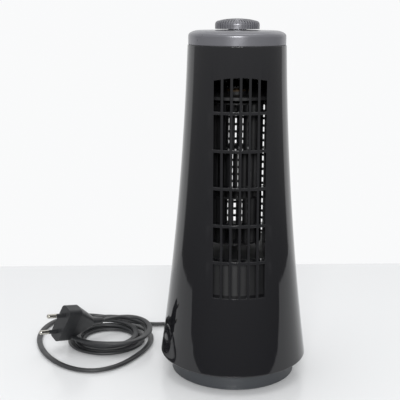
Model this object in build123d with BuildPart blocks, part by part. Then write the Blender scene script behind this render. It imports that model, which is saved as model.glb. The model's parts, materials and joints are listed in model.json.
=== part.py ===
import math
import os

from build123d import *

os.makedirs("parts", exist_ok=True)

STANDING = (Align.CENTER, Align.CENTER, Align.MIN)
HANGING = (Align.CENTER, Align.CENTER, Align.MAX)
SQUARE_TO_BACK = (90, 0, 0)

# Driving dimensions in millimetres: z = 0 is the table, the front of the fan faces -Y

# Fits
running_fit = 0.05
push_fit = 0.02
plate_fit = 0.2

# Housing shell
body_bottom_z = 16.0
body_height = 267.5
body_bottom_radius = 64.0
body_top_radius = 41.0
body_draw_in = 3.6
wall = 2.2
rim_round = 0.9
ledge_width = 3.0
ledge_height = 3.0
ledge_half_span = 28.0

# Front grille
grille_columns = 6
grille_rows = 6
slot_width = 5.4
column_bar = 2.0
row_pitch = 30.2
row_bar = 2.4
grille_depth = 8.0
grille_bottom_z = 81.6
top_slot_height = 26.6
arch_drop = 2.4

# Rear air intake
intake_columns = 4
intake_rows = 20
intake_width = 15.2
intake_rib = 2.4
intake_slot = 4.4
intake_bar = 2.2
intake_bottom_z = 101.0

# Top cap
cap_radius = 40.4
cap_height = 12.5
cap_wall = 2.4
cap_skirt_depth = 4.5
cap_skirt_wall = 1.6
cap_seam = 0.4
cap_edge_radius = 3.0
cap_edge_turn = 55.0
cap_shoulder_radius = 12.0
cap_shoulder_turn = 32.0
cap_boss_radius = 3.2
cap_ledge_drop = 7.5
cap_ledge_thickness = 2.4

# Speed knob and its switch
knob_radius = 18.35
knob_gap = 0.4
knob_skirt = 3.6
knob_dome = 5.0
knob_edge_radius = 3.0
knob_cavity_radius = 14.0
knob_roof = 3.6
knob_hub_radius = 5.0
flute_count = 48
flute_width = 1.1
flute_depth = 0.9
flute_length = 8.4
switch_side = 21.0
switch_height = 14.0
switch_neck_radius = 4.5
switch_neck_stand = 1.0
switch_shaft_radius = 3.0
switch_shaft_reach = 4.0
nut_across_flats = 13.0
nut_height = 2.0
nut_seat_radius = 9.0
nut_seat_depth = 0.5

# Base
foot_height = 1.0
foot_radius = 5.0
foot_thickness = 2.0
foot_spread = 28.0
base_radius = 54.0
base_height = 12.5
base_wall = 2.4
base_roof = 2.2
base_round = 1.5
cover_thickness = 1.8
cover_screw_x = 38.0
cover_screw_y = 22.0
cover_boss_radius = 3.4

# Swivel
post_radius = 7.5
post_bore = 5.5
post_top_stand = 1.8
swivel_gap = 5.5
thrust_gap = 0.1
thrust_inner = 46.0
thrust_width = 4.5
plate_thickness = 2.5
plate_boss_radius = 4.0
plate_boss_height = 12.0
hub_height = 5.5
hub_wall = 4.0
clip_thickness = 1.0
clip_reach = 3.0
clip_groove = 0.9
clip_end_play = 0.2
clip_mouth = 9.0

# Swing drive: a geared motor turns a crank whose pin runs in a slot of the base
crank_offset = 26.0
crank_radius = 13.0
crank_thickness = 2.5
crank_hub_radius = 5.0
crank_tip_radius = 4.5
crank_gap = 0.9
pin_radius = 2.5
pin_length = 5.1
linkage_clearance = 1.6
swing_can_radius = 14.0
swing_can_height = 19.0
swing_shaft_offset = 8.0
swing_shaft_radius = 2.5
swing_collar_radius = 4.5
swing_ear_span = 17.5
swing_ear_radius = 3.5
swing_ear_thickness = 0.8
swing_pad_height = 3.0

# Fan motor
shaft_radius = 2.0
stack_height = 18.0
stack_half_width = 22.0
stack_front = 14.0
stack_back = 38.0
stack_window_half = 15.0
stack_window_front = 16.0
stack_limb = 10.0
stack_drop = 11.8
rotor_radius = 9.2
rotor_air_gap = 0.4
rotor_overhang = 1.0
coil_half_length = 13.0
coil_thickness = 6.5
coil_fit = 0.3
bridge_half_width = 22.0
bridge_depth = 14.0
bridge_plate = 2.0
bridge_leg = 5.0
bridge_leg_width = 9.0
motor_screw_x = 18.0
bush_radius = 4.5
bush_length = 5.0
shield_thickness = 1.6
shield_fit = 0.3

# Air path
deck_thickness = 2.4
impeller_gap = 6.2
impeller_radius = 23.0
impeller_segments = 3
segment_height = 38.0
segment_ring = 1.4
ring_width = 7.5
blade_count = 20
blade_inner_radius = 17.5
blade_bow = 1.5
blade_lead = 10.0
blade_thickness = 1.0
segment_stagger = 8.5
impeller_hub_radius = 7.0
impeller_hub_drop = 3.2
impeller_hub_rise = 10.0
grub_radius = 1.5
impeller_pin_length = 14.0
pin_grip = 8.0
bearing_gap = 3.2
bearing_plate_thickness = 2.4
bearing_radius = 6.0
bearing_height = 5.0
bearing_lip = 2.0
duct_wall = 1.6
scroll_gap = 5.5
scroll_start = -35.0
scroll_sweep = 58.0
tongue_gap = 3.0
tongue_start = 180.0
tongue_sweep = 35.0

# Screws
screw_radius = 1.5
screw_head_radius = 2.75
screw_head_height = 2.0
pilot_fit = 0.05
hole_fit = 0.2
flat_head_height = 1.2
join_boss_radius = 4.4
join_boss_inset = 3.0
join_screw_seat = 9.0
join_screw_reach = 12.0
join_low_z = 42.0
join_high_z = 268.0

# Mains lead, wiring and cord
cord_radius = 2.2
gland_z = 7.1
gland_flat = 0.6
gland_flange_radius = 3.8
gland_neck_radius = 3.2
gland_inner_flange = 1.6
gland_reach = 24.0
gland_end_radius = 2.9
lead_bend = 6.0
lead_stand = 2.0
clamp_y = 36.0
clamp_screw_x = 7.0
clamp_boss_radius = 2.8
clamp_length = 20.0
clamp_width = 7.0
clamp_thickness = 1.0
clamp_head_height = 0.9
loom_radius = 2.0
loom_x = -33.5
loom_y = 8.0
loom_gap = 0.3
loom_bend = 9.0

# Coil of the cord on the table beside the fan
coil_x = -115.5
coil_y = 57.0
coil_radius = 38.0
coil_pitch = 5.8
coil_layer = 4.9
coil_half_turns = 5

# Two pin flat plug, leaning on the coil
plug_face = Vector(-157, 30, 29)
plug_axis = Vector(-0.70, -0.68, 0.21).normalized()
plug_upright = Vector(0.415, -0.151, 0.897)
plug_width = 35.3
plug_thickness = 13.7
plug_shoulder = 14.0
plug_length = 36.0
plug_neck_width = 11.0
plug_neck_thickness = 9.5
plug_relief_length = 14.0
plug_relief_radius = 3.0
plug_corner = 4.0
plug_pin_radius = 2.0
plug_pin_length = 19.0
plug_pin_spacing = 18.6
plug_sleeve_length = 10.0
plug_sleeve_radius = 1.9
plug_core_radius = 1.5

# Places worked out from the driving dimensions
body_top_z = body_bottom_z + body_height
base_top_z = foot_height + base_height
base_ceiling_z = base_top_z - base_roof
cover_top_z = foot_height + cover_thickness
plate_bottom_z = base_top_z + swivel_gap
plate_top_z = plate_bottom_z + plate_thickness
hub_top_z = plate_top_z + hub_height
clip_z = hub_top_z + clip_end_play
post_top_z = clip_z + clip_thickness + post_top_stand
deck_top_z = grille_bottom_z + row_pitch
deck_bottom_z = deck_top_z - deck_thickness
impeller_bottom_z = deck_top_z + impeller_gap
impeller_height = impeller_segments * (segment_height + segment_ring) + segment_ring
impeller_top_z = impeller_bottom_z + impeller_height
bearing_bottom_z = impeller_top_z + bearing_gap
bearing_top_z = bearing_bottom_z + bearing_plate_thickness
cap_top_z = body_top_z + cap_height
cap_ceiling_z = cap_top_z - cap_wall - nut_seat_depth
cap_ledge_z = body_top_z - cap_ledge_drop
nut_seat_z = cap_top_z - nut_seat_depth
neck_top_z = nut_seat_z + nut_height + switch_neck_stand
knob_bottom_z = cap_top_z + knob_gap
knob_shoulder_z = knob_bottom_z + knob_skirt
knob_top_z = knob_shoulder_z + knob_dome
switch_bottom_z = cap_ceiling_z - switch_height
switch_shaft_top_z = neck_top_z + switch_shaft_reach
stack_top_z = deck_bottom_z - stack_drop
stack_bottom_z = stack_top_z - stack_height
upper_bridge_z = stack_top_z + bridge_leg
lower_bridge_z = stack_bottom_z - bridge_leg - bridge_plate
crank_top_z = plate_bottom_z - crank_gap
crank_bottom_z = crank_top_z - crank_thickness
swing_seat_z = plate_top_z + swing_pad_height
grille_half_width = (grille_columns * slot_width + (grille_columns - 1) * column_bar) / 2
grille_top_z = grille_bottom_z + (grille_rows - 1) * row_pitch + top_slot_height
gland_back_y = base_radius - gland_flat
gland_front_y = base_radius - base_wall - gland_inner_flange - gland_flat / 2
gland_end_y = gland_back_y + gland_reach

# The flank is one hollow arc, so its radius at any height follows from the arc's centre
flank_run = body_bottom_radius - body_top_radius
flank_chord = math.hypot(flank_run, body_height)
flank_arc_radius = (flank_chord**2 / 4 + body_draw_in**2) / (2 * body_draw_in)
flank_lean = math.atan2(flank_run, body_height)
flank_reach = flank_arc_radius - body_draw_in
flank_centre_r = (body_bottom_radius + body_top_radius) / 2 + flank_reach * math.cos(flank_lean)
flank_centre_z = body_bottom_z + body_height / 2 + flank_reach * math.sin(flank_lean)


def body_radius(z):
    """Outer radius of the housing at a height."""
    return flank_centre_r - math.sqrt(flank_arc_radius**2 - (z - flank_centre_z) ** 2)


def flank(inset, low, high):
    """Three points of the flank's arc, moved towards the axis by the inset."""
    return [(body_radius(z) - inset, z) for z in (low, (low + high) / 2, high)]


def flank_band(outer_inset, inner_inset, low, high):
    """Half section of a ring that follows the flank between two heights."""
    with BuildSketch(Plane.XZ) as band:
        with BuildLine():
            skin = ThreePointArc(*flank(outer_inset, low, high))
            lining = ThreePointArc(*flank(inner_inset, low, high))
            Line(skin @ 0, lining @ 0)
            Line(skin @ 1, lining @ 1)
        make_face()
    return band.sketch


def flank_core(inset, low, high):
    """Half section of everything inside the flank between two heights."""
    with BuildSketch(Plane.XZ) as core:
        with BuildLine():
            skin = ThreePointArc(*flank(inset, low, high))
            Polyline(skin @ 1, (0, high), (0, low), skin @ 0)
        make_face()
    return core.sketch


def plate_outline(z, top):
    """Round plate that fits the housing at its top face and goes round the grille's back."""
    inner = body_radius(top) - wall - plate_fit
    grille_back = body_radius(top) - grille_depth - plate_fit
    with BuildSketch(Plane.XY.offset(z)) as outline:
        Circle(inner)
        with Locations((0, -body_bottom_radius)):
            Rectangle(2 * (grille_half_width + column_bar + plate_fit), 2 * body_bottom_radius, mode=Mode.SUBTRACT)
        Circle(grille_back)
    return outline.sketch


def rising_screws(places, head_height, shank_length):
    """Screws pushed up from below: each head hangs under its place."""
    with Locations(*places):
        Cylinder(screw_head_radius, head_height, align=HANGING)
        Cylinder(screw_radius, shank_length, align=STANDING)


def falling_screws(places, head_height, shank_length):
    """Screws put in from above: each head stands on its place."""
    with Locations(*places):
        Cylinder(screw_head_radius, head_height, align=STANDING)
        Cylinder(screw_radius, shank_length, align=HANGING)


def corner_radii(points):
    """Arc radius at each corner of a cord's route, as large as its two runs allow."""
    radii = []
    for before, corner, after in zip(points, points[1:], points[2:]):
        first = corner - before
        second = after - corner
        turn = math.radians(first.get_angle(second))
        radii.append(0.45 * min(first.length, second.length) / math.tan(turn / 2))
    return radii


def route_tube(points, radii, radius):
    """Solid tube along straight runs joined by tangent arcs."""
    with BuildPart() as tube:
        with BuildLine() as route:
            FilletPolyline(*points, radius=radii)
        with BuildSketch(Plane(points[0], z_dir=points[1] - points[0])):
            Circle(radius)
        sweep(path=route.wire())
    swept = math.pi * radius**2 * route.wire().length
    print(f"  length {route.wire().length:.1f}, volume over section times length {tube.part.volume / swept:.4f}")
    return tube


def four_corners(x, y, z):
    """Four places in the corners of a rectangle round the axis."""
    return [(sx * x, sy * y, z) for sx in (-1, 1) for sy in (-1, 1)]


plate_boss_r = body_radius(plate_top_z + plate_boss_height) - wall - plate_boss_radius + wall / 2
plate_boss_xy = plate_boss_r * math.sqrt(0.5)
plate_bosses = four_corners(plate_boss_xy, plate_boss_xy, plate_top_z)
join_places = [
    (side * (body_radius(z) - wall - join_boss_inset), 0, z) for z in (join_low_z, join_high_z) for side in (-1, 1)
]
cap_boss_y = body_radius(body_top_z) - wall - plate_fit - cap_boss_radius
cap_boss_places = [(0, side * cap_boss_y, cap_ledge_z) for side in (-1, 1)]

# Ledges and bosses inside the housing, trimmed to the middle of its wall
with BuildPart() as fittings:
    for ledge_top in (deck_bottom_z, bearing_bottom_z):
        with BuildSketch(Plane.XY.offset(ledge_top - ledge_height)):
            Circle(body_bottom_radius)
            Circle(body_radius(ledge_top) - wall - ledge_width, mode=Mode.SUBTRACT)
            Rectangle(2 * body_bottom_radius, 2 * ledge_half_span, mode=Mode.INTERSECT)
        extrude(amount=ledge_height)
    with BuildSketch(Plane.XY.offset(cap_ledge_z - cap_ledge_thickness)):
        Circle(body_bottom_radius)
        Circle(cap_boss_y - cap_boss_radius, mode=Mode.SUBTRACT)
    extrude(amount=cap_ledge_thickness)
    with Locations(*plate_bosses):
        Cylinder(plate_boss_radius, plate_boss_height, align=STANDING)
    with PolarLocations(plate_boss_r, 4, start_angle=45):
        with Locations((0, 0, plate_top_z)):
            Box(
                2 * plate_boss_radius,
                plate_boss_radius,
                plate_boss_height,
                align=(Align.MIN, Align.CENTER, Align.MIN),
            )
    for place in join_places:
        with Locations(Location(place, SQUARE_TO_BACK)):
            Cylinder(join_boss_radius, 2 * body_bottom_radius)
    revolve(flank_core(wall / 2, body_bottom_z, body_top_z), axis=Axis.Z, mode=Mode.INTERSECT)

# Whole shell before it is parted into a front and a rear half
with BuildPart() as shell:
    revolve(flank_band(0, wall, body_bottom_z, body_top_z), axis=Axis.Z)
    fillet(shell.edges().group_by(Axis.Z)[0].sort_by(SortBy.LENGTH)[-1], radius=rim_round)
    add(fittings.part)
    with Locations(*plate_bosses):
        Cylinder(screw_radius + pilot_fit, plate_boss_height - wall, align=STANDING, mode=Mode.SUBTRACT)
    with Locations(*cap_boss_places):
        Cylinder(screw_radius + hole_fit, cap_ledge_thickness, align=HANGING, mode=Mode.SUBTRACT)

# Thick part of the front wall that the grille's slots pass through
grille_low_z = grille_bottom_z - row_bar
grille_high_z = grille_top_z + row_bar
with BuildPart() as grille_block:
    revolve(flank_band(wall / 2, grille_depth, grille_low_z, grille_high_z), axis=Axis.Z)
    with Locations((0, -body_bottom_radius, (grille_low_z + grille_high_z) / 2)):
        Box(
            2 * (grille_half_width + column_bar),
            2 * body_bottom_radius,
            grille_high_z - grille_low_z,
            mode=Mode.INTERSECT,
        )

# Slots of the grille: one arched field less its bars
grille_shoulder_z = grille_top_z - arch_drop
with BuildSketch(Plane.XZ) as grille_slots:
    with BuildLine():
        Polyline(
            (grille_half_width, grille_shoulder_z),
            (grille_half_width, grille_bottom_z),
            (-grille_half_width, grille_bottom_z),
            (-grille_half_width, grille_shoulder_z),
        )
        ThreePointArc(
            (-grille_half_width, grille_shoulder_z), (0, grille_top_z), (grille_half_width, grille_shoulder_z)
        )
    make_face()
    with Locations(*[(0, grille_bottom_z + row * row_pitch) for row in range(1, grille_rows)]):
        Rectangle(2 * grille_half_width, row_bar, align=(Align.CENTER, Align.MAX), mode=Mode.SUBTRACT)
    column_pitch = slot_width + column_bar
    with Locations(*[((column - grille_columns / 2) * column_pitch, 0) for column in range(1, grille_columns)]):
        Rectangle(column_bar, 2 * grille_high_z, mode=Mode.SUBTRACT)

with BuildPart() as front_housing:
    add(shell.part)
    split(bisect_by=Plane.XZ, keep=Keep.TOP)
    add(grille_block.part)
    extrude(grille_slots.sketch, amount=2 * body_bottom_radius, mode=Mode.SUBTRACT)
    for place in join_places:
        with Locations(Location(place, SQUARE_TO_BACK)):
            Cylinder(screw_radius + pilot_fit, join_screw_reach, align=STANDING, mode=Mode.SUBTRACT)
front_housing.part.label = "front_housing"
export_step(front_housing.part, "parts/front_housing.step")

intake_pitch = intake_slot + intake_bar
intake_height = intake_rows * intake_pitch - intake_bar
with BuildSketch(Plane.XZ) as intake_slots:
    with Locations((0, intake_bottom_z + intake_height / 2)):
        with GridLocations(intake_width + intake_rib, intake_pitch, intake_columns, intake_rows):
            Rectangle(intake_width, intake_slot)

with BuildPart() as rear_housing:
    add(shell.part)
    split(bisect_by=Plane.XZ, keep=Keep.BOTTOM)
    extrude(intake_slots.sketch, amount=-2 * body_bottom_radius, mode=Mode.SUBTRACT)
    for place in join_places:
        with Locations(Location(place, SQUARE_TO_BACK)):
            Cylinder(screw_radius + hole_fit, join_screw_seat, align=HANGING, mode=Mode.SUBTRACT)
            with Locations((0, 0, -join_screw_seat)):
                Cylinder(screw_head_radius + hole_fit, body_bottom_radius, align=HANGING, mode=Mode.SUBTRACT)
rear_housing.part.label = "rear_housing"
export_step(rear_housing.part, "parts/rear_housing.step")

with BuildPart() as housing_screws:
    for place in join_places:
        with Locations(Location((place[0], join_screw_seat, place[2]), SQUARE_TO_BACK)):
            Cylinder(screw_head_radius, screw_head_height, align=HANGING)
            Cylinder(screw_radius, join_screw_seat + join_screw_reach - screw_radius, align=STANDING)
housing_screws.part.label = "housing_screws"
export_step(housing_screws.part, "parts/housing_screws.step")

# Top cap: straight side, soft shoulder and a faint crown, with a skirt inside the housing
cap_skirt_radius = body_radius(body_top_z) - wall - plate_fit
cap_edge_rise = cap_edge_radius * math.sin(math.radians(cap_edge_turn))
cap_shoulder_end = 90 - cap_edge_turn - cap_shoulder_turn
cap_shoulder_rise = cap_shoulder_radius * (
    math.cos(math.radians(cap_shoulder_end)) - math.cos(math.radians(90 - cap_edge_turn))
)
cap_crown = (cap_radius - cap_shoulder_radius) * math.tan(math.radians(cap_shoulder_end)) / 2
cap_side_z = cap_top_z - cap_crown - cap_shoulder_rise - cap_edge_rise
with BuildPart() as top_cap:
    with BuildSketch(Plane.XZ):
        with BuildLine():
            edge = JernArc((cap_radius, cap_side_z), (0, 1), cap_edge_radius, cap_edge_turn)
            shoulder = JernArc(edge @ 1, edge % 1, cap_shoulder_radius, cap_shoulder_turn)
            Line(shoulder @ 1, (0, cap_top_z))
            Polyline(
                (0, cap_top_z),
                (0, body_top_z),
                (cap_radius - cap_seam, body_top_z),
                (cap_radius, body_top_z + cap_seam),
                (cap_radius, cap_side_z),
            )
        make_face()
    revolve(axis=Axis.Z)
    with Locations((0, 0, body_top_z)):
        Cylinder(cap_skirt_radius, cap_skirt_depth, align=HANGING)
    with Locations((0, 0, body_top_z - cap_skirt_depth)):
        Cylinder(
            cap_skirt_radius - cap_skirt_wall,
            cap_ceiling_z - body_top_z + cap_skirt_depth,
            align=STANDING,
            mode=Mode.SUBTRACT,
        )
    with Locations(*cap_boss_places):
        Cylinder(cap_boss_radius, cap_ceiling_z - cap_ledge_z, align=STANDING)
    with Locations(*cap_boss_places):
        Cylinder(screw_radius + pilot_fit, cap_ledge_drop, align=STANDING, mode=Mode.SUBTRACT)
    with Locations((0, 0, nut_seat_z)):
        Cylinder(nut_seat_radius, cap_wall, align=STANDING, mode=Mode.SUBTRACT)
    with Locations((0, 0, cap_top_z)):
        Cylinder(switch_neck_radius + hole_fit, 2 * cap_wall, align=HANGING, mode=Mode.SUBTRACT)
top_cap.part.label = "top_cap"
export_step(top_cap.part, "parts/top_cap.step")

with BuildPart() as cap_screws:
    rising_screws(
        [(x, y, z - cap_ledge_thickness) for x, y, z in cap_boss_places],
        screw_head_height,
        cap_ledge_thickness + cap_ledge_drop - screw_radius,
    )
cap_screws.part.label = "cap_screws"
export_step(cap_screws.part, "parts/cap_screws.step")

# Rotary switch under the cap, its nut on top and the shaft that carries the knob
with BuildPart() as switch_body:
    with Locations((0, 0, switch_bottom_z)):
        Box(switch_side, switch_side, switch_height, align=STANDING)
    fillet(switch_body.edges().filter_by(Axis.Z), radius=wall)
    with Locations((0, 0, cap_ceiling_z)):
        Cylinder(switch_neck_radius, neck_top_z - cap_ceiling_z, align=STANDING)
    with Locations((0, 0, neck_top_z)):
        Cylinder(
            switch_shaft_radius + running_fit,
            neck_top_z - switch_bottom_z - wall,
            align=HANGING,
            mode=Mode.SUBTRACT,
        )
switch_body.part.label = "switch_body"
export_step(switch_body.part, "parts/switch_body.step")

with BuildPart() as switch_nut:
    with BuildSketch(Plane.XY.offset(nut_seat_z)):
        RegularPolygon(nut_across_flats / 2, 6, major_radius=False)
        Circle(switch_neck_radius + push_fit, mode=Mode.SUBTRACT)
    extrude(amount=nut_height)
switch_nut.part.label = "switch_nut"
export_step(switch_nut.part, "parts/switch_nut.step")

with BuildPart() as switch_shaft:
    with Locations((0, 0, switch_bottom_z + wall + running_fit)):
        Cylinder(
            switch_shaft_radius, switch_shaft_top_z - switch_bottom_z - wall - running_fit, align=STANDING
        )
switch_shaft.part.label = "switch_shaft"
export_step(switch_shaft.part, "parts/switch_shaft.step")

# Speed knob: a domed cup with fine flutes that run up its wall and over the edge of the dome
knob_cavity_z = knob_top_z - knob_roof
crown_rise = knob_dome - knob_edge_radius
crown_drop = ((knob_radius - knob_edge_radius) ** 2 - crown_rise**2) / (2 * crown_rise)
crown_turn = 90 - math.degrees(math.atan2(knob_radius - knob_edge_radius, crown_drop))


def knob_section(inset):
    """Half section of the solid knob, drawn in all round by the inset."""
    with BuildSketch(Plane.XZ) as section:
        with BuildLine():
            edge = JernArc((knob_radius - inset, knob_shoulder_z), (0, 1), knob_edge_radius - inset, crown_turn)
            TangentArc(edge @ 1, (0, knob_top_z - inset), tangent=edge % 1)
            Polyline(
                (0, knob_top_z - inset),
                (0, knob_bottom_z),
                (knob_radius - inset, knob_bottom_z),
                (knob_radius - inset, knob_shoulder_z),
            )
        make_face()
    return section.sketch


with BuildPart() as speed_knob:
    revolve(knob_section(0), axis=Axis.Z)
    with BuildSketch(Plane.XY.offset(knob_bottom_z)):
        with PolarLocations(knob_radius, flute_count):
            Rectangle(2 * flute_length, flute_width)
    extrude(amount=knob_top_z - knob_bottom_z, mode=Mode.SUBTRACT)
    revolve(knob_section(flute_depth), axis=Axis.Z)
    with Locations((0, 0, knob_bottom_z)):
        Cylinder(knob_cavity_radius, knob_cavity_z - knob_bottom_z, align=STANDING, mode=Mode.SUBTRACT)
    with Locations((0, 0, knob_cavity_z)):
        Cylinder(knob_hub_radius, knob_cavity_z - neck_top_z - knob_gap, align=HANGING)
    with Locations((0, 0, switch_shaft_top_z)):
        Cylinder(
            switch_shaft_radius + push_fit, switch_shaft_top_z - knob_bottom_z, align=HANGING, mode=Mode.SUBTRACT
        )
speed_knob.part.label = "speed_knob"
export_step(speed_knob.part, "parts/speed_knob.step")

# Base: a shallow cup with the hollow pivot post and the slot for the crank pin
cover_screw_places = four_corners(cover_screw_x, cover_screw_y, foot_height)
foot_places = four_corners(foot_spread, foot_spread, 0)
clamp_places = [(side * clamp_screw_x, clamp_y, gland_z - cord_radius) for side in (-1, 1)]
with BuildPart() as base_shell:
    with Locations((0, 0, foot_height)):
        Cylinder(base_radius, base_height, align=STANDING)
    fillet(base_shell.edges().group_by(Axis.Z)[-1], radius=base_round)
    with Locations((0, 0, foot_height)):
        Cylinder(base_radius - base_wall, base_height - base_roof, align=STANDING, mode=Mode.SUBTRACT)
    with Locations(*[(x, y, cover_top_z) for x, y, _ in cover_screw_places]):
        Cylinder(cover_boss_radius, base_ceiling_z - cover_top_z, align=STANDING)
    with Locations(*clamp_places):
        Cylinder(clamp_boss_radius, base_ceiling_z - gland_z + cord_radius, align=STANDING)
    with Locations((0, 0, base_top_z)):
        Cylinder(post_radius, post_top_z - base_top_z, align=STANDING)
    with BuildSketch(Plane.XY.offset(clip_z)):
        Circle(post_radius)
        Circle(post_radius - clip_groove, mode=Mode.SUBTRACT)
    extrude(amount=clip_thickness + running_fit, mode=Mode.SUBTRACT)
    with Locations((0, 0, post_top_z)):
        Cylinder(post_bore, post_top_z - base_ceiling_z, align=HANGING, mode=Mode.SUBTRACT)
    with BuildSketch(Plane.XY.offset(base_top_z)):
        with Locations((0, -crank_offset)):
            SlotCenterToCenter(2 * crank_radius, 2 * (pin_radius + linkage_clearance), rotation=90)
    extrude(amount=-base_roof, mode=Mode.SUBTRACT)
    with Locations(*[(x, y, cover_top_z) for x, y, _ in cover_screw_places]):
        Cylinder(
            screw_radius + pilot_fit, base_ceiling_z - cover_top_z, align=STANDING, mode=Mode.SUBTRACT
        )
    with Locations(*clamp_places):
        Cylinder(
            screw_radius + pilot_fit, base_ceiling_z - gland_z + cord_radius, align=STANDING, mode=Mode.SUBTRACT
        )
    with Locations((0, base_radius, gland_z)):
        Box(2 * gland_flange_radius + wall, 2 * gland_flat, 2 * gland_flange_radius + wall, mode=Mode.SUBTRACT)
    with Locations(Location((0, base_radius, gland_z), SQUARE_TO_BACK)):
        Cylinder(gland_neck_radius + push_fit, 2 * base_wall + gland_flat, align=STANDING, mode=Mode.SUBTRACT)
base_shell.part.label = "base_shell"
export_step(base_shell.part, "parts/base_shell.step")

with BuildPart() as base_cover:
    with Locations((0, 0, foot_height)):
        Cylinder(base_radius - base_wall - plate_fit, cover_thickness, align=STANDING)
    with Locations(*cover_screw_places):
        Cylinder(screw_radius + hole_fit, cover_thickness, align=STANDING, mode=Mode.SUBTRACT)
        Cylinder(screw_head_radius + hole_fit, flat_head_height, align=STANDING, mode=Mode.SUBTRACT)
    with Locations(*[(x, y, foot_height) for x, y, _ in foot_places]):
        Cylinder(foot_radius + push_fit, foot_thickness - foot_height, align=STANDING, mode=Mode.SUBTRACT)
base_cover.part.label = "base_cover"
export_step(base_cover.part, "parts/base_cover.step")

with BuildPart() as base_screws:
    rising_screws(
        [(x, y, z + flat_head_height) for x, y, z in cover_screw_places],
        flat_head_height,
        base_ceiling_z - foot_height - flat_head_height - running_fit,
    )
    with Locations(*cover_screw_places):
        Box(2 * screw_radius, flat_head_height / 2, flat_head_height, mode=Mode.SUBTRACT)
        Box(flat_head_height / 2, 2 * screw_radius, flat_head_height, mode=Mode.SUBTRACT)
base_screws.part.label = "base_screws"
export_step(base_screws.part, "parts/base_screws.step")

with BuildPart() as rubber_feet:
    with Locations(*foot_places):
        Cylinder(foot_radius, foot_thickness, align=STANDING)
    chamfer(rubber_feet.edges().group_by(Axis.Z)[0], length=foot_height / 3)
rubber_feet.part.label = "rubber_feet"
export_step(rubber_feet.part, "parts/rubber_feet.step")

# Swivel: thrust ring on the base, lower plate of the tower, and the clip that holds it down
with BuildPart() as thrust_ring:
    with BuildSketch(Plane.XY.offset(base_top_z)):
        Circle(thrust_inner + thrust_width)
        Circle(thrust_inner, mode=Mode.SUBTRACT)
    extrude(amount=swivel_gap - thrust_gap)
thrust_ring.part.label = "thrust_ring"
export_step(thrust_ring.part, "parts/thrust_ring.step")

swing_motor_y = -crank_offset - swing_shaft_offset
swing_ears = [(side * swing_ear_span, swing_motor_y, swing_seat_z) for side in (-1, 1)]
hub_radius = post_radius + running_fit + hub_wall
with BuildPart() as lower_plate:
    with BuildSketch(Plane.XY.offset(plate_bottom_z)):
        Circle(body_radius(plate_top_z) - wall - plate_fit)
    extrude(amount=plate_thickness)
    with Locations((0, 0, plate_top_z)):
        Cylinder(hub_radius, hub_height, align=STANDING)
    with Locations(*[(x, y, plate_top_z) for x, y, _ in swing_ears]):
        Cylinder(swing_ear_radius, swing_pad_height, align=STANDING)
    with Locations((0, 0, plate_bottom_z)):
        Cylinder(post_radius + running_fit, plate_thickness + hub_height, align=STANDING, mode=Mode.SUBTRACT)
    with Locations((0, -crank_offset, plate_bottom_z)):
        Cylinder(swing_collar_radius + plate_fit, plate_thickness, align=STANDING, mode=Mode.SUBTRACT)
    with Locations(*[(x, y, plate_bottom_z) for x, y, _ in swing_ears]):
        Cylinder(
            screw_radius + pilot_fit, plate_thickness + swing_pad_height, align=STANDING, mode=Mode.SUBTRACT
        )
    with Locations(*[(x, y, plate_bottom_z) for x, y, _ in plate_bosses]):
        Cylinder(screw_radius + hole_fit, plate_thickness, align=STANDING, mode=Mode.SUBTRACT)
lower_plate.part.label = "lower_plate"
export_step(lower_plate.part, "parts/lower_plate.step")

with BuildPart() as plate_screws:
    rising_screws(
        [(x, y, plate_bottom_z) for x, y, _ in plate_bosses],
        screw_head_height,
        plate_thickness + plate_boss_height - wall - screw_radius,
    )
plate_screws.part.label = "plate_screws"
export_step(plate_screws.part, "parts/plate_screws.step")

with BuildPart() as swivel_clip:
    with BuildSketch(Plane.XY.offset(clip_z)):
        Circle(post_radius + clip_reach)
        Circle(post_radius - clip_groove + push_fit, mode=Mode.SUBTRACT)
        with Locations((0, post_radius)):
            Rectangle(clip_mouth, 2 * post_radius, mode=Mode.SUBTRACT)
    extrude(amount=clip_thickness)
swivel_clip.part.label = "swivel_clip"
export_step(swivel_clip.part, "parts/swivel_clip.step")

# Swing drive
with BuildPart() as swing_motor:
    with Locations((0, swing_motor_y, swing_seat_z)):
        Cylinder(swing_can_radius, swing_can_height, align=STANDING)
    fillet(swing_motor.edges().group_by(Axis.Z)[-1], radius=swing_ear_thickness)
    with BuildSketch(Plane.XY.offset(swing_seat_z)):
        with Locations((0, swing_motor_y)):
            SlotCenterToCenter(2 * swing_ear_span, 2 * swing_ear_radius)
    extrude(amount=swing_ear_thickness)
    with Locations((0, -crank_offset, swing_seat_z)):
        Cylinder(swing_collar_radius, swing_seat_z - plate_bottom_z, align=HANGING)
    with Locations((0, -crank_offset, plate_bottom_z)):
        Cylinder(
            swing_shaft_radius + running_fit,
            swing_seat_z - plate_bottom_z + swing_can_height / 2,
            align=STANDING,
            mode=Mode.SUBTRACT,
        )
    with Locations(*swing_ears):
        Cylinder(screw_radius + hole_fit, swing_ear_thickness, align=STANDING, mode=Mode.SUBTRACT)
swing_motor.part.label = "swing_motor"
export_step(swing_motor.part, "parts/swing_motor.step")

with BuildPart() as swing_motor_screws:
    falling_screws(
        [(x, y, z + swing_ear_thickness) for x, y, z in swing_ears],
        screw_head_height,
        swing_ear_thickness + swing_pad_height + plate_thickness / 2,
    )
swing_motor_screws.part.label = "swing_motor_screws"
export_step(swing_motor_screws.part, "parts/swing_motor_screws.step")

with BuildPart() as swing_shaft:
    with Locations((0, -crank_offset, crank_bottom_z)):
        Cylinder(
            swing_shaft_radius,
            swing_seat_z + swing_can_height / 2 - crank_bottom_z - running_fit,
            align=STANDING,
        )
swing_shaft.part.label = "swing_shaft"
export_step(swing_shaft.part, "parts/swing_shaft.step")

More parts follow.
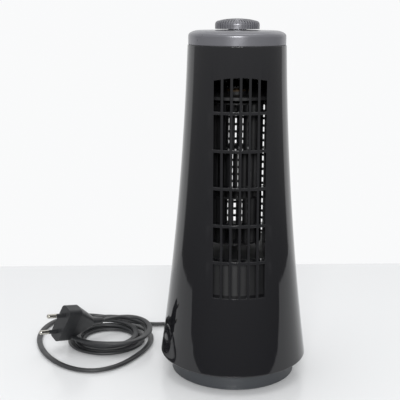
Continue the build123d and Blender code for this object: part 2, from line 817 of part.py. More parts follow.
with BuildPart() as swing_crank:
    with BuildSketch(Plane.XY.offset(crank_bottom_z)):
        with Locations((0, -crank_offset)):
            Circle(crank_hub_radius)
        with Locations((0, -crank_offset - crank_radius)):
            Circle(crank_tip_radius)
        make_hull()
    extrude(amount=crank_thickness)
    with Locations((0, -crank_offset - crank_radius, crank_bottom_z)):
        Cylinder(pin_radius, pin_length, align=HANGING)
    with Locations((0, -crank_offset, crank_bottom_z)):
        Cylinder(swing_shaft_radius + push_fit, crank_thickness, align=STANDING, mode=Mode.SUBTRACT)
swing_crank.part.label = "swing_crank"
export_step(swing_crank.part, "parts/swing_crank.step")

# Motor deck: floor of the air path, hung with bosses for the fan motor
motor_screw_places = [(side * motor_screw_x, 0) for side in (-1, 1)]
bridge_top_z = upper_bridge_z + bridge_plate
with BuildPart() as motor_deck:
    extrude(plate_outline(deck_bottom_z, deck_top_z), amount=deck_thickness)
    with Locations(*[(x, y, deck_bottom_z) for x, y in motor_screw_places]):
        Cylinder(bridge_leg_width / 2, deck_bottom_z - bridge_top_z, align=HANGING)
    with Locations(*[(x, y, bridge_top_z) for x, y in motor_screw_places]):
        Cylinder(
            screw_radius + pilot_fit, deck_top_z - bridge_top_z - wall / 2, align=STANDING, mode=Mode.SUBTRACT
        )
    with Locations((0, 0, deck_bottom_z)):
        Cylinder(2 * shaft_radius, deck_thickness, align=STANDING, mode=Mode.SUBTRACT)
    with Locations((loom_x, loom_y, deck_bottom_z)):
        Cylinder(loom_radius + plate_fit, deck_thickness, align=STANDING, mode=Mode.SUBTRACT)
motor_deck.part.label = "motor_deck"
export_step(motor_deck.part, "parts/motor_deck.step")

# Shield that closes the lowest row of the grille in front of the motor
with BuildPart() as motor_shield:
    shield_outer = grille_depth + shield_fit
    revolve(
        flank_band(shield_outer, shield_outer + shield_thickness, grille_low_z, deck_bottom_z), axis=Axis.Z
    )
    with Locations((0, -body_bottom_radius, (grille_low_z + deck_bottom_z) / 2)):
        Box(2 * grille_half_width, 2 * body_bottom_radius, deck_bottom_z - grille_low_z, mode=Mode.INTERSECT)
motor_shield.part.label = "motor_shield"
export_step(motor_shield.part, "parts/motor_shield.step")

# Shaded pole motor: laminated stack with its bore on the axis and a coil on the rear limb
stack_limb_front = stack_back - stack_limb
with BuildPart() as stator_stack:
    with BuildSketch(Plane.XY.offset(stack_bottom_z)):
        with Locations((0, (stack_back - stack_front) / 2)):
            Rectangle(2 * stack_half_width, stack_back + stack_front)
        with Locations((0, (stack_limb_front + stack_window_front) / 2)):
            Rectangle(2 * stack_window_half, stack_limb_front - stack_window_front, mode=Mode.SUBTRACT)
        Circle(rotor_radius + rotor_air_gap, mode=Mode.SUBTRACT)
        with Locations(*motor_screw_places):
            Circle(screw_radius + hole_fit, mode=Mode.SUBTRACT)
    extrude(amount=stack_height)
stator_stack.part.label = "stator_stack"
export_step(stator_stack.part, "parts/stator_stack.step")

with BuildPart() as stator_coil:
    with Locations((0, stack_back - stack_limb / 2, stack_bottom_z + stack_height / 2)):
        Box(2 * coil_half_length, stack_limb + 2 * coil_thickness, stack_height + 2 * coil_thickness)
        fillet(stator_coil.edges().filter_by(Axis.X), radius=coil_thickness / 2)
        Box(2 * coil_half_length, stack_limb + 2 * coil_fit, stack_height + 2 * coil_fit, mode=Mode.SUBTRACT)
stator_coil.part.label = "stator_coil"
export_step(stator_coil.part, "parts/stator_coil.step")


def motor_bridge(plate_z, leg_z):
    """Strip across the stack on two legs, with a seat for a bush in its middle."""
    with BuildPart() as bridge:
        with Locations((0, 0, plate_z)):
            Box(2 * bridge_half_width, bridge_depth, bridge_plate, align=STANDING)
        with Locations(*[(x, y, leg_z) for x, y in motor_screw_places]):
            Box(bridge_leg_width - 1, bridge_depth, bridge_leg, align=STANDING)
        with Locations((0, 0, plate_z)):
            Cylinder(bush_radius + push_fit, bridge_plate, align=STANDING, mode=Mode.SUBTRACT)
        with Locations(*[(x, y, min(plate_z, leg_z)) for x, y in motor_screw_places]):
            Cylinder(
                screw_radius + hole_fit, bridge_plate + bridge_leg, align=STANDING, mode=Mode.SUBTRACT
            )
    return bridge


upper_bridge = motor_bridge(upper_bridge_z, stack_top_z)
upper_bridge.part.label = "upper_bridge"
export_step(upper_bridge.part, "parts/upper_bridge.step")

lower_bridge = motor_bridge(lower_bridge_z, stack_bottom_z - bridge_leg)
lower_bridge.part.label = "lower_bridge"
export_step(lower_bridge.part, "parts/lower_bridge.step")

# Each bush has a collar that rests on its bridge, on the side of the rotor
bush_collar = bush_length - bridge_plate
with BuildPart() as motor_bushes:
    with Locations((0, 0, upper_bridge_z - bush_collar), (0, 0, lower_bridge_z)):
        Cylinder(bush_radius, bush_length, align=STANDING)
    with Locations((0, 0, upper_bridge_z), (0, 0, lower_bridge_z + bridge_plate + bush_collar)):
        Cylinder(bush_radius + 1, bush_collar, align=HANGING)
    with Locations((0, 0, upper_bridge_z - bush_collar), (0, 0, lower_bridge_z)):
        Cylinder(shaft_radius + running_fit, bush_length, align=STANDING, mode=Mode.SUBTRACT)
motor_bushes.part.label = "motor_bushes"
export_step(motor_bushes.part, "parts/motor_bushes.step")

with BuildPart() as motor_screws:
    rising_screws(
        [(x, y, lower_bridge_z) for x, y in motor_screw_places],
        screw_head_height,
        deck_top_z - wall / 2 - lower_bridge_z - running_fit,
    )
motor_screws.part.label = "motor_screws"
export_step(motor_screws.part, "parts/motor_screws.step")

shaft_bottom_z = lower_bridge_z - 1
shaft_top_z = impeller_bottom_z + segment_ring + impeller_hub_rise
with BuildPart() as motor_shaft:
    with Locations((0, 0, shaft_bottom_z)):
        Cylinder(shaft_radius, shaft_top_z - shaft_bottom_z, align=STANDING)
motor_shaft.part.label = "motor_shaft"
export_step(motor_shaft.part, "parts/motor_shaft.step")

with BuildPart() as rotor_core:
    with Locations((0, 0, stack_bottom_z - rotor_overhang)):
        Cylinder(rotor_radius, stack_height + 2 * rotor_overhang, align=STANDING)
        Cylinder(
            shaft_radius + push_fit, stack_height + 2 * rotor_overhang, align=STANDING, mode=Mode.SUBTRACT
        )
rotor_core.part.label = "rotor_core"
export_step(rotor_core.part, "parts/rotor_core.step")

# Cross-flow impeller: stacked rings of bowed blades, each ring turned a little from the last
blade_outer_radius = impeller_radius - blade_thickness / 2
lead_angle = math.radians(blade_lead)
blade_tip = (blade_outer_radius * math.cos(lead_angle), blade_outer_radius * math.sin(lead_angle))
blade_middle_radius = (blade_inner_radius + blade_outer_radius) / 2
blade_middle = (
    blade_middle_radius * math.cos(lead_angle / 2) + blade_bow * math.sin(lead_angle / 2),
    blade_middle_radius * math.sin(lead_angle / 2) - blade_bow * math.cos(lead_angle / 2),
)
with BuildSketch() as blade:
    with BuildLine():
        ThreePointArc((blade_inner_radius, 0), blade_middle, blade_tip)
    trace(line_width=blade_thickness)

segment_step = segment_height + segment_ring
grub_z = impeller_bottom_z - impeller_hub_drop / 2
hub_bottom_z = impeller_bottom_z - impeller_hub_drop
with BuildPart() as impeller:
    for segment in range(impeller_segments + 1):
        ring_z = impeller_bottom_z + segment * segment_step
        with BuildSketch(Plane.XY.offset(ring_z)):
            Circle(impeller_radius)
            if 0 < segment < impeller_segments:
                Circle(impeller_radius - ring_width, mode=Mode.SUBTRACT)
        extrude(amount=segment_ring)
    for segment in range(impeller_segments):
        blade_z = impeller_bottom_z + segment * segment_step + segment_ring
        with BuildSketch(Plane.XY.offset(blade_z)):
            with PolarLocations(0, blade_count, start_angle=segment * segment_stagger):
                add(blade.sketch)
        extrude(amount=segment_height)
    with Locations((0, 0, hub_bottom_z)):
        Cylinder(impeller_hub_radius, impeller_hub_drop + segment_ring + impeller_hub_rise + wall, align=STANDING)
    with Locations((0, 0, impeller_top_z)):
        Cylinder(impeller_hub_radius, pin_grip + wall, align=HANGING)
        Cylinder(shaft_radius + push_fit, pin_grip, align=HANGING, mode=Mode.SUBTRACT)
    with Locations((0, 0, hub_bottom_z)):
        Cylinder(shaft_radius + push_fit, shaft_top_z - hub_bottom_z, align=STANDING, mode=Mode.SUBTRACT)
    with Locations(Location((0, 0, grub_z), SQUARE_TO_BACK)):
        Cylinder(grub_radius + push_fit, impeller_hub_radius, align=STANDING, mode=Mode.SUBTRACT)
impeller.part.label = "impeller"
export_step(impeller.part, "parts/impeller.step")

with BuildPart() as hub_grub_screw:
    with Locations(Location((0, -shaft_radius - push_fit, grub_z), SQUARE_TO_BACK)):
        Cylinder(grub_radius, impeller_hub_radius - shaft_radius - wall / 2, align=STANDING)
hub_grub_screw.part.label = "hub_grub_screw"
export_step(hub_grub_screw.part, "parts/hub_grub_screw.step")

with BuildPart() as impeller_pin:
    with Locations((0, 0, impeller_top_z - pin_grip)):
        Cylinder(shaft_radius, impeller_pin_length, align=STANDING)
impeller_pin.part.label = "impeller_pin"
export_step(impeller_pin.part, "parts/impeller_pin.step")

# Upper bearing: a plate across the housing with a bush for the impeller's pin
with BuildPart() as bearing_plate:
    extrude(plate_outline(bearing_bottom_z, bearing_top_z), amount=bearing_plate_thickness)
    with Locations((0, 0, bearing_top_z)):
        Cylinder(bearing_radius + bearing_lip, bearing_height - bearing_plate_thickness, align=STANDING)
    with Locations((0, 0, bearing_bottom_z)):
        Cylinder(bearing_radius + push_fit, bearing_height, align=STANDING, mode=Mode.SUBTRACT)
    with Locations((loom_x, loom_y, bearing_bottom_z)):
        Cylinder(loom_radius + plate_fit, bearing_plate_thickness, align=STANDING, mode=Mode.SUBTRACT)
bearing_plate.part.label = "bearing_plate"
export_step(bearing_plate.part, "parts/bearing_plate.step")

with BuildPart() as top_bearing:
    with Locations((0, 0, bearing_bottom_z)):
        Cylinder(bearing_radius, bearing_height, align=STANDING)
    with Locations((0, 0, bearing_bottom_z + bearing_height)):
        Cylinder(bearing_radius + bearing_lip, wall / 2, align=STANDING)
    with Locations((0, 0, bearing_bottom_z)):
        Cylinder(shaft_radius + running_fit, bearing_height + wall / 2, align=STANDING, mode=Mode.SUBTRACT)
top_bearing.part.label = "top_bearing"
export_step(top_bearing.part, "parts/top_bearing.step")

# Guide walls of the air path stand on the deck and reach the bearing plate
duct_height = bearing_bottom_z - deck_top_z
duct_front_x = grille_half_width + duct_wall
duct_front_y = -math.sqrt((body_radius(bearing_bottom_z) - grille_depth - 2 * duct_wall) ** 2 - duct_front_x**2)
scroll_radius = impeller_radius + scroll_gap
with BuildPart() as scroll_wall:
    with BuildSketch(Plane.XY.offset(deck_top_z)):
        with BuildLine():
            bend = CenterArc((0, 0), scroll_radius, scroll_start, scroll_sweep)
            Line((duct_front_x, duct_front_y), bend @ 0)
        trace(line_width=duct_wall)
    extrude(amount=duct_height)
scroll_wall.part.label = "scroll_wall"
export_step(scroll_wall.part, "parts/scroll_wall.step")

tongue_radius = impeller_radius + tongue_gap
with BuildPart() as vortex_tongue:
    with BuildSketch(Plane.XY.offset(deck_top_z)):
        with BuildLine():
            nose = CenterArc((0, 0), tongue_radius, tongue_start, tongue_sweep)
            Line((-duct_front_x, duct_front_y), nose @ 1)
        trace(line_width=duct_wall)
    extrude(amount=duct_height)
vortex_tongue.part.label = "vortex_tongue"
export_step(vortex_tongue.part, "parts/vortex_tongue.step")

# Mains lead: through the gland, under the clamp and up the hollow post
lead_top_z = post_top_z + lead_stand
with BuildPart() as mains_lead:
    with BuildLine() as lead_route:
        FilletPolyline((0, gland_front_y, gland_z), (0, 0, gland_z), (0, 0, lead_top_z), radius=lead_bend)
    with BuildSketch(Plane((0, gland_front_y, gland_z), z_dir=(0, -1, 0))):
        Circle(cord_radius)
    sweep(path=lead_route.wire())
mains_lead.part.label = "mains_lead"
export_step(mains_lead.part, "parts/mains_lead.step")

with BuildPart() as cord_clamp:
    with BuildSketch(Plane.XY.offset(gland_z - cord_radius - clamp_thickness)):
        with Locations((0, clamp_y)):
            SlotOverall(clamp_length, clamp_width)
        with Locations(*[(x, y) for x, y, _ in clamp_places]):
            Circle(screw_radius + hole_fit, mode=Mode.SUBTRACT)
    extrude(amount=clamp_thickness)
cord_clamp.part.label = "cord_clamp"
export_step(cord_clamp.part, "parts/cord_clamp.step")

with BuildPart() as clamp_screws:
    rising_screws(
        [(x, y, z - clamp_thickness) for x, y, z in clamp_places],
        clamp_head_height,
        base_ceiling_z - gland_z + cord_radius + clamp_thickness - running_fit,
    )
clamp_screws.part.label = "clamp_screws"
export_step(clamp_screws.part, "parts/clamp_screws.step")

# Strain relief: flanged through the base's wall, then a tapered sleeve
with BuildPart() as cord_gland:
    with BuildSketch(Plane.YZ):
        with BuildLine():
            Polyline(
                (gland_front_y, gland_z),
                (gland_front_y, gland_z + gland_flange_radius),
                (gland_front_y + gland_inner_flange, gland_z + gland_flange_radius),
                (gland_front_y + gland_inner_flange, gland_z + gland_neck_radius),
                (gland_back_y, gland_z + gland_neck_radius),
                (gland_back_y, gland_z + gland_flange_radius),
                (gland_end_y, gland_z + gland_end_radius),
                (gland_end_y, gland_z),
                close=True,
            )
        make_face()
    revolve(axis=Axis((0, 0, gland_z), (0, 1, 0)))
    with Locations(Location((0, gland_end_y, gland_z), SQUARE_TO_BACK)):
        Cylinder(cord_radius + push_fit, gland_end_y - gland_front_y, align=STANDING, mode=Mode.SUBTRACT)
cord_gland.part.label = "cord_gland"
export_step(cord_gland.part, "parts/cord_gland.step")

# Wiring inside the tower, from the post to the switch
loom_start_z = lead_top_z + loom_gap
loom_points = [
    Vector(0, 0, loom_start_z),
    Vector(0, 0, loom_start_z + 2 * loom_bend),
    Vector(loom_x, loom_y, loom_start_z + 3 * loom_bend),
    Vector(loom_x, loom_y, bearing_top_z + 2 * loom_bend),
    Vector(-switch_side / 4, 0, switch_bottom_z - 2 * loom_bend),
    Vector(-switch_side / 4, 0, switch_bottom_z),
]
print("wiring_loom")
wiring_loom = route_tube(loom_points, [loom_bend] * (len(loom_points) - 2), loom_radius)
wiring_loom.part.label = "wiring_loom"
export_step(wiring_loom.part, "parts/wiring_loom.step")

# Cord on the table: out of the gland, round the coil as one wide loop, then into the coil
coil_low_z = cord_radius
coil_high_z = coil_low_z + coil_layer
cord_diameter = 2 * cord_radius
cord_points = [
    Vector(0, gland_front_y, gland_z),
    Vector(0, gland_end_y + 4, gland_z),
    Vector(-6, 93, 5.2),
    Vector(-22, 101, cord_radius),
    Vector(-43, 98.5, cord_radius),
    Vector(-64, 93.5, cord_radius),
    Vector(-83, 96, cord_radius),
    Vector(-103, 106, cord_radius),
    Vector(-124, 118, cord_radius),
    Vector(-147, 123, cord_radius),
    Vector(-168, 113, cord_radius),
    Vector(-180, 92, cord_radius),
    Vector(-183, 66, cord_radius),
    Vector(-178, 40, cord_radius),
    Vector(-167, 15, cord_radius),
    Vector(-149, -7, cord_radius),
    Vector(-126, -17, cord_radius),
    Vector(-104, -8, cord_radius),
    Vector(-88, 13, cord_radius),
    Vector(-77, 36, cord_radius),
    Vector(-73, 59, cord_radius),
    Vector(-79, 80, cord_radius),
    Vector(-95, 94, cord_radius),
    Vector(coil_x + cord_diameter, coil_y + coil_radius, cord_radius),
]
cord_radii = corner_radii(cord_points)
print("power_cord radii", [round(radius, 1) for radius in cord_radii])
power_cord = route_tube(cord_points, cord_radii, cord_radius)
power_cord.part.label = "power_cord"
export_step(power_cord.part, "parts/power_cord.step")

# Coil: two layers of half turns that spiral in, climb, and spiral out again
coil_stations = []
for half_turn in range(2 * coil_half_turns + 2):
    inward = min(half_turn, 2 * coil_half_turns + 1 - half_turn)
    side = 1 if half_turn % 2 == 0 else -1
    level = coil_low_z if half_turn <= coil_half_turns else coil_high_z
    station_radius = coil_radius - inward * coil_pitch / 2
    coil_stations.append((Vector(coil_x, coil_y + side * station_radius, level), Vector(-side, 0, 0)))
with BuildPart() as cord_coil:
    with BuildLine() as coil_route:
        Line(coil_stations[0][0] - coil_stations[0][1] * cord_diameter, coil_stations[0][0])
        for (start, heading), (end, end_heading) in zip(coil_stations, coil_stations[1:]):
            chord = end - start
            crest = (start + end) * 0.5 + heading * (chord.length / 2)
            TangentArc(start, crest, tangent=heading)
            TangentArc(crest, end, tangent=chord)
        Line(coil_stations[-1][0], coil_stations[-1][0] + coil_stations[-1][1] * cord_diameter)
    with BuildSketch(Plane(coil_route.wire() @ 0, z_dir=coil_route.wire() % 0)):
        Circle(cord_radius)
    sweep(path=coil_route.wire())
coil_length = coil_route.wire().length
coil_samples = int(coil_length)
coil_line = [coil_route.wire() @ (index / coil_samples) for index in range(coil_samples + 1)]
coil_reach = int(4 * cord_diameter)
coil_self_gap = min(
    (one - other).length
    for index, one in enumerate(coil_line)
    for other in coil_line[index + coil_reach :]
)
print(f"cord_coil length {coil_length:.1f}, least gap to itself {coil_self_gap - cord_diameter:.2f}")
print(f"  volume over section times length {cord_coil.part.volume / (math.pi * cord_radius**2 * coil_length):.4f}")
cord_coil.part.label = "cord_coil"
export_step(cord_coil.part, "parts/cord_coil.step")

# Plug at the end of the cord, built along its own axis
plug_plane = Plane(plug_face, x_dir=plug_upright, z_dir=plug_axis)
plug_cord_end = plug_face - plug_axis * (plug_length + plug_relief_length)
with BuildPart() as plug_body:
    with BuildSketch(plug_plane):
        RectangleRounded(plug_width, plug_thickness, plug_corner)
    with BuildSketch(plug_plane.offset(-plug_shoulder)):
        RectangleRounded(plug_width, plug_thickness, plug_corner)
    loft()
    with BuildSketch(plug_plane.offset(-plug_shoulder)):
        RectangleRounded(plug_width, plug_thickness, plug_corner)
    with BuildSketch(plug_plane.offset(-plug_length)):
        RectangleRounded(plug_neck_width, plug_neck_thickness, plug_corner)
    loft()
    with BuildSketch(plug_plane.offset(-plug_length)):
        Circle(plug_relief_radius + 1)
    with BuildSketch(plug_plane.offset(-plug_length - plug_relief_length)):
        Circle(plug_relief_radius)
    loft()
    with BuildSketch(plug_plane):
        with GridLocations(plug_pin_spacing, 0, 2, 1):
            Circle(plug_sleeve_radius + push_fit)
    extrude(amount=-plug_shoulder, mode=Mode.SUBTRACT)
plug_body.part.label = "plug_body"
export_step(plug_body.part, "parts/plug_body.step")

with BuildPart() as plug_pins:
    with BuildSketch(plug_plane.offset(-plug_shoulder)):
        with GridLocations(plug_pin_spacing, 0, 2, 1):
            Circle(plug_core_radius)
    extrude(amount=plug_shoulder + plug_sleeve_length)
    with BuildSketch(plug_plane.offset(plug_sleeve_length)):
        with GridLocations(plug_pin_spacing, 0, 2, 1):
            Circle(plug_pin_radius)
    extrude(amount=plug_pin_length - plug_sleeve_length)
    fillet(
        plug_pins.edges().filter_by(GeomType.CIRCLE).sort_by(Axis(plug_face, plug_axis))[-2:],
        radius=plug_pin_radius / 2,
    )
plug_pins.part.label = "plug_pins"
export_step(plug_pins.part, "parts/plug_pins.step")

with BuildPart() as plug_sleeves:
    with BuildSketch(plug_plane.offset(-plug_shoulder)):
        with GridLocations(plug_pin_spacing, 0, 2, 1):
            Circle(plug_sleeve_radius)
            Circle(plug_core_radius + push_fit, mode=Mode.SUBTRACT)
    extrude(amount=plug_shoulder + plug_sleeve_length)
plug_sleeves.part.label = "plug_sleeves"
export_step(plug_sleeves.part, "parts/plug_sleeves.step")

# Last stretch of the cord: along the coil's top, across it and into the plug
tail_points = [
    Vector(coil_x + cord_diameter, coil_y - coil_radius, coil_high_z),
    Vector(-97, 19.5, coil_high_z),
    Vector(-84.5, 27.5, coil_high_z),
    Vector(-76.5, 41, coil_high_z),
    Vector(-74.5, 57, coil_high_z + 1),
    Vector(-80, 71.5, coil_high_z + 3.7),
    Vector(-92, 80, coil_high_z + 5.2),
    plug_cord_end - plug_axis * 18,
    plug_cord_end,
]
tail_radii = corner_radii(tail_points)
print("cord_tail radii", [round(radius, 1) for radius in tail_radii])
cord_tail = route_tube(tail_points, tail_radii, cord_radius)
cord_tail.part.label = "cord_tail"
export_step(cord_tail.part, "parts/cord_tail.step")
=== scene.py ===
import json
import math

import bmesh
import bpy
from mathutils import Euler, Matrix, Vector


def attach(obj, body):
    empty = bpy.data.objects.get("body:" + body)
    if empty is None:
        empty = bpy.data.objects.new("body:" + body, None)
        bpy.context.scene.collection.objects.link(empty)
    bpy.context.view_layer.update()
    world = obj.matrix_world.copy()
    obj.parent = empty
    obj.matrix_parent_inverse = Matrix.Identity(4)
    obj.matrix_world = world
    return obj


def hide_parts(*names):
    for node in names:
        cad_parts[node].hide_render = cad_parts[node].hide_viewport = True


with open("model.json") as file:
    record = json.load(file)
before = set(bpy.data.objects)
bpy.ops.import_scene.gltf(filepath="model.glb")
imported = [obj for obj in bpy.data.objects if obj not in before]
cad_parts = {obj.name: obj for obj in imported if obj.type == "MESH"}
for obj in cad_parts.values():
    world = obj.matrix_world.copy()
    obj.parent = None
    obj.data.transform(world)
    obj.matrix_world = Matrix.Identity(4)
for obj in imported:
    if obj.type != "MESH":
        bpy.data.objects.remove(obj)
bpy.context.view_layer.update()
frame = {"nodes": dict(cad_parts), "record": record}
nodes = frame["nodes"]
scene = bpy.context.scene
MM = 0.001

# Camera: level with the knob, a little to the left of the fan's front, looking slightly down
camera_place = Vector((-0.0598, -0.6834, 0.3075))
camera_turn = (math.radians(77.2), math.radians(-0.3), math.radians(-2.43))
camera_lens = 73.35
sensor_width = 36

camera_data = bpy.data.cameras.new("camera")
camera_data.sensor_width = sensor_width
camera_data.lens = camera_lens
camera = bpy.data.objects.new("camera", camera_data)
camera.location = camera_place
camera.rotation_euler = Euler(camera_turn, "XYZ")
scene.collection.objects.link(camera)
scene.camera = camera


def linear(hex_colour):
    """sRGB hex to the linear values that shaders use."""
    parts = [int(hex_colour[i : i + 2], 16) / 255 for i in (1, 3, 5)]
    return [c / 12.92 if c <= 0.04045 else ((c + 0.055) / 1.055) ** 2.4 for c in parts] + [1]


def add_node(tree, kind, settings=None, inputs=None, links=None):
    """One shader node with its settings, fixed inputs and incoming links."""
    node = tree.nodes.new(kind)
    for name, value in (settings or {}).items():
        setattr(node, name, value)
    for name, value in (inputs or {}).items():
        node.inputs[name].default_value = value
    for name, source in (links or {}).items():
        tree.links.new(source, node.inputs[name])
    return node


cloud_grains = 12


def new_material(name, colour, roughness, grain_mm, bump, spread=0.0, edge_mm=0.0, **surface):
    """Moulded or machined surface: noise in object space varies its roughness and gives a fine bump.

    grain_mm is the size of the finest marks and bump their height, both in millimetres. spread is how
    far the roughness moves either way, in clouds of some grains across, and edge_mm the small round
    that sharp edges are shaded with."""
    material = bpy.data.materials.new(name)
    material.use_nodes = True
    tree = material.node_tree
    shader = tree.nodes["Principled BSDF"]
    shader.inputs["Base Color"].default_value = linear(colour)
    shader.inputs["Roughness"].default_value = roughness
    for socket, value in surface.items():
        shader.inputs[socket.replace("_", " ")].default_value = value
    place = add_node(tree, "ShaderNodeTexCoord")
    grain = add_node(
        tree,
        "ShaderNodeTexNoise",
        inputs={"Scale": 1 / (grain_mm * MM), "Detail": 3.0, "Roughness": 0.6},
        links={"Vector": place.outputs["Object"]},
    )
    relief = add_node(
        tree,
        "ShaderNodeBump",
        inputs={"Strength": 1.0, "Distance": bump * MM},
        links={"Height": grain.outputs["Fac"]},
    )
    tree.links.new(relief.outputs["Normal"], shader.inputs["Normal"])
    if edge_mm:
        edge = add_node(tree, "ShaderNodeBevel", settings={"samples": 4}, inputs={"Radius": edge_mm * MM})
        tree.links.new(edge.outputs["Normal"], relief.inputs["Normal"])
    if spread:
        cloud = add_node(
            tree,
            "ShaderNodeTexNoise",
            inputs={"Scale": 1 / (cloud_grains * grain_mm * MM), "Detail": 4.0},
            links={"Vector": place.outputs["Object"]},
        )
        sheen = add_node(
            tree,
            "ShaderNodeMapRange",
            inputs={
                "From Min": 0.3,
                "From Max": 0.7,
                "To Min": roughness - spread,
                "To Max": roughness + spread,
            },
            links={"Value": cloud.outputs["Fac"]},
        )
        tree.links.new(sheen.outputs["Result"], shader.inputs["Roughness"])
    return material


# Polished ABS: near black, mirror-like, with the faint waviness of a moulded wall
gloss_black = new_material(
    "polished_black_abs", "#17171a", 0.06, 9.0, 0.004, spread=0.02, edge_mm=0.8, IOR=1.53
)
# Grey ABS with metal flake of the cap and knob: satin, with a soft band of light down its front
satin_grey = new_material(
    "satin_metallic_grey_abs", "#75757a", 0.3, 0.35, 0.003, spread=0.03, Metallic=0.35, IOR=1.53
)
# Textured ABS of the base: dark grey, with no clear reflections
base_grey = new_material("textured_dark_grey_abs", "#35383c", 0.45, 0.4, 0.02, spread=0.06, IOR=1.53)
# Black ABS inside the tower: plain moulding, dull
inner_black = new_material("moulded_black_abs", "#1c1c1e", 0.5, 0.6, 0.01, spread=0.06, IOR=1.53)
# Natural acetal of the crank, thrust ring and bobbin: warm white and waxy
bearing_plastic = new_material("natural_acetal", "#d9d4c4", 0.35, 0.8, 0.006, spread=0.04, IOR=1.48)
# Rubber of the feet: black and matt
black_rubber = new_material("black_rubber", "#222222", 0.8, 0.3, 0.02, spread=0.05, IOR=1.52)
# Flexible PVC of the cord, gland and plug: soft sheen, slightly grey
cord_black = new_material("flexible_black_pvc", "#262729", 0.42, 0.5, 0.012, spread=0.07, IOR=1.54)
# Zinc plated steel of screws, shafts and laminations: pale, with a blurred gleam
zinc_steel = new_material("zinc_plated_steel", "#a8abb0", 0.35, 0.3, 0.006, spread=0.08, Metallic=1.0)
# Sintered bronze of the bushes: dark with the oil it holds
bush_bronze = new_material("oiled_sintered_bronze", "#4a3a26", 0.55, 0.25, 0.012, spread=0.08, Metallic=0.6)
# Nickel plated brass of the plug's pins: bright and slightly warm
pin_nickel = new_material("nickel_plated_brass", "#c9c6bd", 0.18, 0.4, 0.002, spread=0.05, Metallic=1.0)

slot_materials = {
    "gloss_black": gloss_black,
    "satin_grey": satin_grey,
    "base_grey": base_grey,
    "inner_black": inner_black,
    "bearing_plastic": bearing_plastic,
    "black_rubber": black_rubber,
    "cord_black": cord_black,
    "zinc_steel": zinc_steel,
    "bush_bronze": bush_bronze,
    "pin_nickel": pin_nickel,
}
for entry in frame["record"]["subparts"]:
    mesh = nodes[entry["node"]].data
    mesh.materials.clear()
    mesh.materials.append(slot_materials[entry["material_slot"]])

# Cord: one flat twin lead from the gland, round as a wide loop, through the coil and into the plug
cord_width = 5.2
cord_height = 3.2
waist_depth = 0.16
waist_width = 0.28
section_points = 20
coil_x = -115.5
coil_y = 57.0
coil_start_radius = 38.0
points_per_turn = 14
plug_face = Vector((-157, 30, 29))
plug_axis = Vector((-0.70, -0.68, 0.21)).normalized()
plug_depth = 50
plug_cord_end = plug_face - plug_axis * plug_depth
plug_lead_in = 18
plug_lead_rise = 2.5
cord_rest_z = 2.2
cord_lead = [
    (0, 49.6, 7.1),
    (0, 81.4, 7.1),
    (-6, 93, 5.2),
    (-22, 101, cord_rest_z),
    (-43, 98.5, cord_rest_z),
    (-64, 93.5, cord_rest_z),
    (-83, 96, cord_rest_z),
    (-103, 106, cord_rest_z),
    (-124, 118, cord_rest_z),
    (-147, 123, cord_rest_z),
    (-168, 113, cord_rest_z),
    (-180, 92, cord_rest_z),
    (-183, 66, cord_rest_z),
    (-178, 40, cord_rest_z),
    (-167, 15, cord_rest_z),
    (-149, -7, cord_rest_z),
    (-126, -17, cord_rest_z),
    (-104, -8, cord_rest_z),
    (-88, 13, cord_rest_z),
    (-77, 36, cord_rest_z),
    (-73, 59, cord_rest_z),
    (-79, 80, cord_rest_z),
    (-95, 94, cord_rest_z),
    (-111.1, 95, cord_rest_z),
]
cord_tail = [
    (-97, 19.5, 12.9),
    (-84.5, 27.5, 13.0),
    (-76.5, 41, 13.0),
    (-74.5, 57, 13.8),
    (-80, 71.5, 15.2),
    (-92, 80, 16.2),
    tuple(plug_cord_end - plug_axis * plug_lead_in + Vector((0, 0, plug_lead_rise))),
    tuple(plug_cord_end),
]

# Coil: a flat spiral on the table that works inwards, then looser turns piled on it that work outwards
coil_high_z = 5.4
coil_pitch = 5.8
upper_pitch = 3.5
coil_rise_per_turn = 3.1
layer_half_turns = 5
loose_radius = 4.2
loose_x = 4.4
loose_y = 3.6
coil_half_turns = 2 * layer_half_turns + 1
cord_points = list(cord_lead)
coil_points = coil_half_turns * points_per_turn // 2
for index in range(1, coil_points + 1):
    half_turn = 2 * index / points_per_turn
    angle = math.radians(90) + half_turn * math.pi
    climb = min(max(half_turn - layer_half_turns, 0), 1)
    above = max(half_turn - layer_half_turns - 1, 0)
    inward = min(half_turn, layer_half_turns, coil_half_turns - half_turn)
    pitch = coil_pitch + (upper_pitch - coil_pitch) * climb
    loose = math.sin(math.pi * above / layer_half_turns)
    radius = coil_start_radius - inward * pitch / 2 + loose_radius * loose * math.sin(1.7 * angle)
    x = coil_x + radius * math.cos(angle) + loose_x * loose * math.sin(0.6 * angle + 1)
    y = coil_y + radius * math.sin(angle) + loose_y * loose * math.cos(0.8 * angle)
    z = cord_rest_z + (coil_high_z - cord_rest_z) * climb + coil_rise_per_turn * above / 2
    cord_points.append((x, y, z))
cord_points += cord_tail


def smooth_line(name, points):
    """Points along one smooth spline that has the given points as its control points."""
    curve = bpy.data.curves.new(name, "CURVE")
    curve.dimensions = "3D"
    curve.resolution_u = 8
    spline = curve.splines.new("NURBS")
    spline.points.add(len(points) - 1)
    for spot, place in zip(spline.points, points):
        spot.co = (*[value * MM for value in place], 1)
    spline.order_u = 3
    spline.use_endpoint_u = True
    holder = bpy.data.objects.new(name, curve)
    scene.collection.objects.link(holder)
    bpy.context.view_layer.update()
    line = bpy.data.meshes.new_from_object(holder)
    places = [vertex.co.copy() for vertex in line.vertices]
    bpy.data.objects.remove(holder)
    bpy.data.curves.remove(curve)
    bpy.data.meshes.remove(line)
    return places


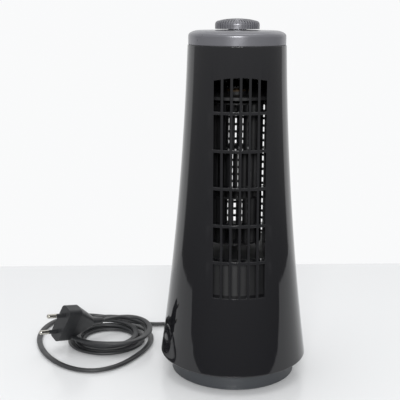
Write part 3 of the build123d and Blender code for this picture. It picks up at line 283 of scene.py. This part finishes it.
def flat_twin_section(count):
    """Outline of a flat twin lead: two cores side by side under one skin."""
    outline = []
    for index in range(count):
        angle = 2 * math.pi * index / count
        across = math.cos(angle)
        waist = 1 - waist_depth * math.exp(-((across / waist_width) ** 2))
        flat = math.copysign(abs(math.sin(angle)) ** 0.75, math.sin(angle))
        outline.append((across * cord_width / 2 * MM, flat * waist * cord_height / 2 * MM))
    return outline


def sweep_section(name, places, outline):
    """Mesh tube of the outline along the places, kept as level as the line allows."""
    shape = bmesh.new()
    rings = []
    up = Vector((0, 0, 1))
    for index, place in enumerate(places):
        before = places[max(index - 1, 0)]
        after = places[min(index + 1, len(places) - 1)]
        along = (after - before).normalized()
        side = along.cross(up).normalized()
        top = side.cross(along)
        rings.append([shape.verts.new(place + side * a + top * b) for a, b in outline])
    for ring, following in zip(rings, rings[1:]):
        for index in range(len(outline)):
            other = (index + 1) % len(outline)
            shape.faces.new((ring[index], ring[other], following[other], following[index]))
    shape.faces.new(rings[0])
    shape.faces.new(reversed(rings[-1]))
    bmesh.ops.recalc_face_normals(shape, faces=shape.faces)
    mesh = bpy.data.meshes.new(name)
    shape.to_mesh(mesh)
    shape.free()
    for face in mesh.polygons:
        face.use_smooth = True
    piece = bpy.data.objects.new(name, mesh)
    scene.collection.objects.link(piece)
    return piece


cord_line = smooth_line("cord_line", cord_points)
flat_cord = sweep_section("flat_mains_cord", cord_line, flat_twin_section(section_points))
flat_cord.data.materials.append(cord_black)
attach(flat_cord, "base")
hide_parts("power_cord", "cord_coil", "cord_tail")

# Stage: a white lacquered table, glossy enough to mirror the fan faintly
table_material = new_material("white_lacquered_table", "#ecedee", 0.22, 2.0, 0.002, IOR=1.5)
table_front_y = -0.11
table_back_y = 0.30
table_half_width = 0.56
table_corners = [
    (-table_half_width, table_front_y, 0),
    (table_half_width, table_front_y, 0),
    (table_half_width, table_back_y, 0),
    (-table_half_width, table_back_y, 0),
]
table_mesh = bpy.data.meshes.new("table")
table_mesh.from_pydata(table_corners, [], [range(len(table_corners))])
table_mesh.materials.append(table_material)
table = bpy.data.objects.new("table", table_mesh)
scene.collection.objects.link(table)


def area_light(name, place, target, size, power):
    """Soft rectangular light at a place, turned to its target."""
    data = bpy.data.lights.new(name, "AREA")
    data.shape = "RECTANGLE"
    data.size, data.size_y = size
    data.energy = power
    light = bpy.data.objects.new(name, data)
    light.location = place
    light.rotation_euler = (Vector(target) - Vector(place)).to_track_quat("-Z", "Y").to_euler()
    scene.collection.objects.link(light)


area_light("overhead", place=(0, 0, 1.4), target=(0, 0.1, 0), size=(1.2, 0.7), power=4.2)
area_light("front_window", place=(-0.12, -1.4, 0.64), target=(0, 0, 0.28), size=(0.6, 0.3), power=14)

# Room around the stage: a bright screen behind, and in front dim at the floor and lighter above
screen_glow = 0.96
floor_glow = 0.12
ceiling_glow = 0.62
world = bpy.data.worlds.new("studio")
world.use_nodes = True
room = world.node_tree
sight = add_node(room, "ShaderNodeTexCoord")
heading = add_node(room, "ShaderNodeSeparateXYZ", links={"Vector": sight.outputs["Generated"]})
room_glow = add_node(
    room,
    "ShaderNodeMapRange",
    inputs={"From Min": -0.2, "From Max": 0.12, "To Min": floor_glow, "To Max": ceiling_glow},
    links={"Value": heading.outputs["Z"]},
)
screen = add_node(
    room,
    "ShaderNodeMapRange",
    inputs={"From Min": 0.44, "From Max": 0.52, "To Min": 0.0, "To Max": screen_glow},
    links={"Value": heading.outputs["Y"]},
)
brighter = add_node(room, "ShaderNodeMath", settings={"operation": "MAXIMUM"})
room.links.new(room_glow.outputs["Result"], brighter.inputs[0])
room.links.new(screen.outputs["Result"], brighter.inputs[1])
room.nodes["Background"].inputs["Color"].default_value = (0.99, 0.995, 1, 1)
room.links.new(brighter.outputs["Value"], room.nodes["Background"].inputs["Strength"])
scene.world = world
scene.view_settings.view_transform = "Standard"
